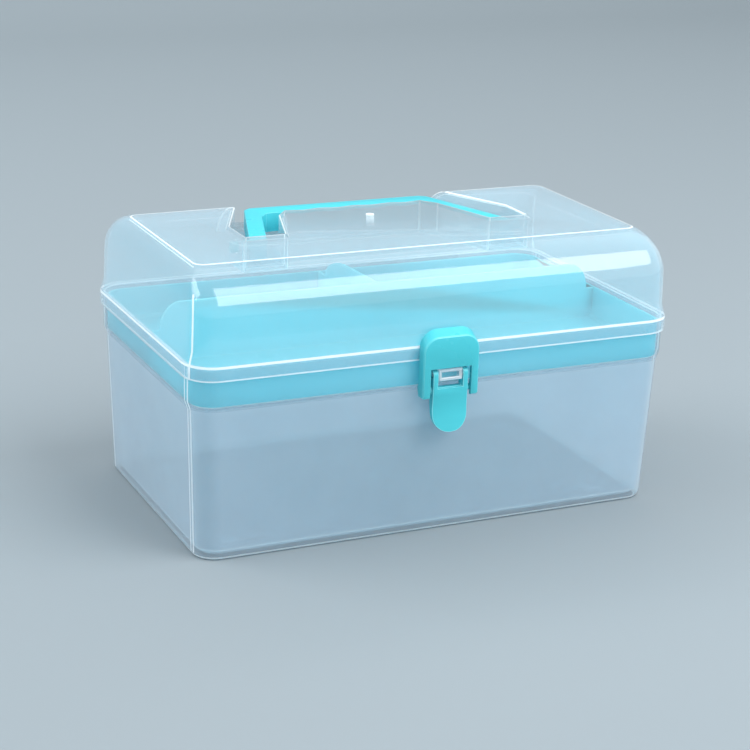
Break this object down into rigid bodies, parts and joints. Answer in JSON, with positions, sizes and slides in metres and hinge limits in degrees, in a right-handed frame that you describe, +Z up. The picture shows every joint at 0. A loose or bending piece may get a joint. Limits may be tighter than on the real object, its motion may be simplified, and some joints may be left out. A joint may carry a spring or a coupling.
{
  "type": "sewing box with a lift-out tray",
  "caption": "Clear lidded sewing box with a divided lift-out tray, a folding carry handle in the lid and a front toggle latch.",
  "frame": {"origin": "on the underside, in the middle of the lower box", "axes": "+Z up, X along the box's length, the latch on the -Y side and the hinges on the +Y side"},
  "size_m": [0.26, 0.172, 0.141],
  "materials": {
    "milky_polypropylene": "translucent, fine matte",
    "clear_polypropylene": "clear, glossy",
    "turquoise_polypropylene": "opaque, satin"
  },
  "bodies": {
    "base": {"base_box": "milky_polypropylene"},
    "lid": {"lid": "clear_polypropylene"},
    "tray": {"tray": "turquoise_polypropylene"},
    "handle": {"handle": "turquoise_polypropylene"},
    "lever": {"latch_lever": "turquoise_polypropylene"},
    "cover": {"latch_cover": "turquoise_polypropylene"}
  },
  "joints": [
    {"name": "lid_hinge", "type": "hinge", "parent": "base", "child": "lid", "pos_m": [0, 0.08275, 0.09], "axis": [-1, 0, 0], "range_deg": [0, 105]},
    {"name": "tray_lift", "type": "slide", "parent": "base", "child": "tray", "axis": [0, 0, 1], "range_m": [0, 0.08]},
    {"name": "handle_swing", "type": "hinge", "parent": "lid", "child": "handle", "pos_m": [0, 0, 0.1341], "axis": [1, 0, 0], "range_deg": [0, 95]},
    {"name": "lever_swing", "type": "hinge", "parent": "base", "child": "lever", "pos_m": [0, -0.08045, 0.0845], "axis": [-1, 0, 0], "range_deg": [0, 105]},
    {"name": "cover_swing", "type": "hinge", "parent": "lever", "child": "cover", "pos_m": [0, -0.08025, 0.0766], "axis": [-1, 0, 0], "range_deg": [-140, 0]}
  ],
  "couplings": [
    {"joint": "tray_lift", "follows": "lid_hinge", "m_per_rad": 0.04365},
    {"joint": "cover_swing", "follows": "lever_swing", "ratio": -1.3333}
  ]
}
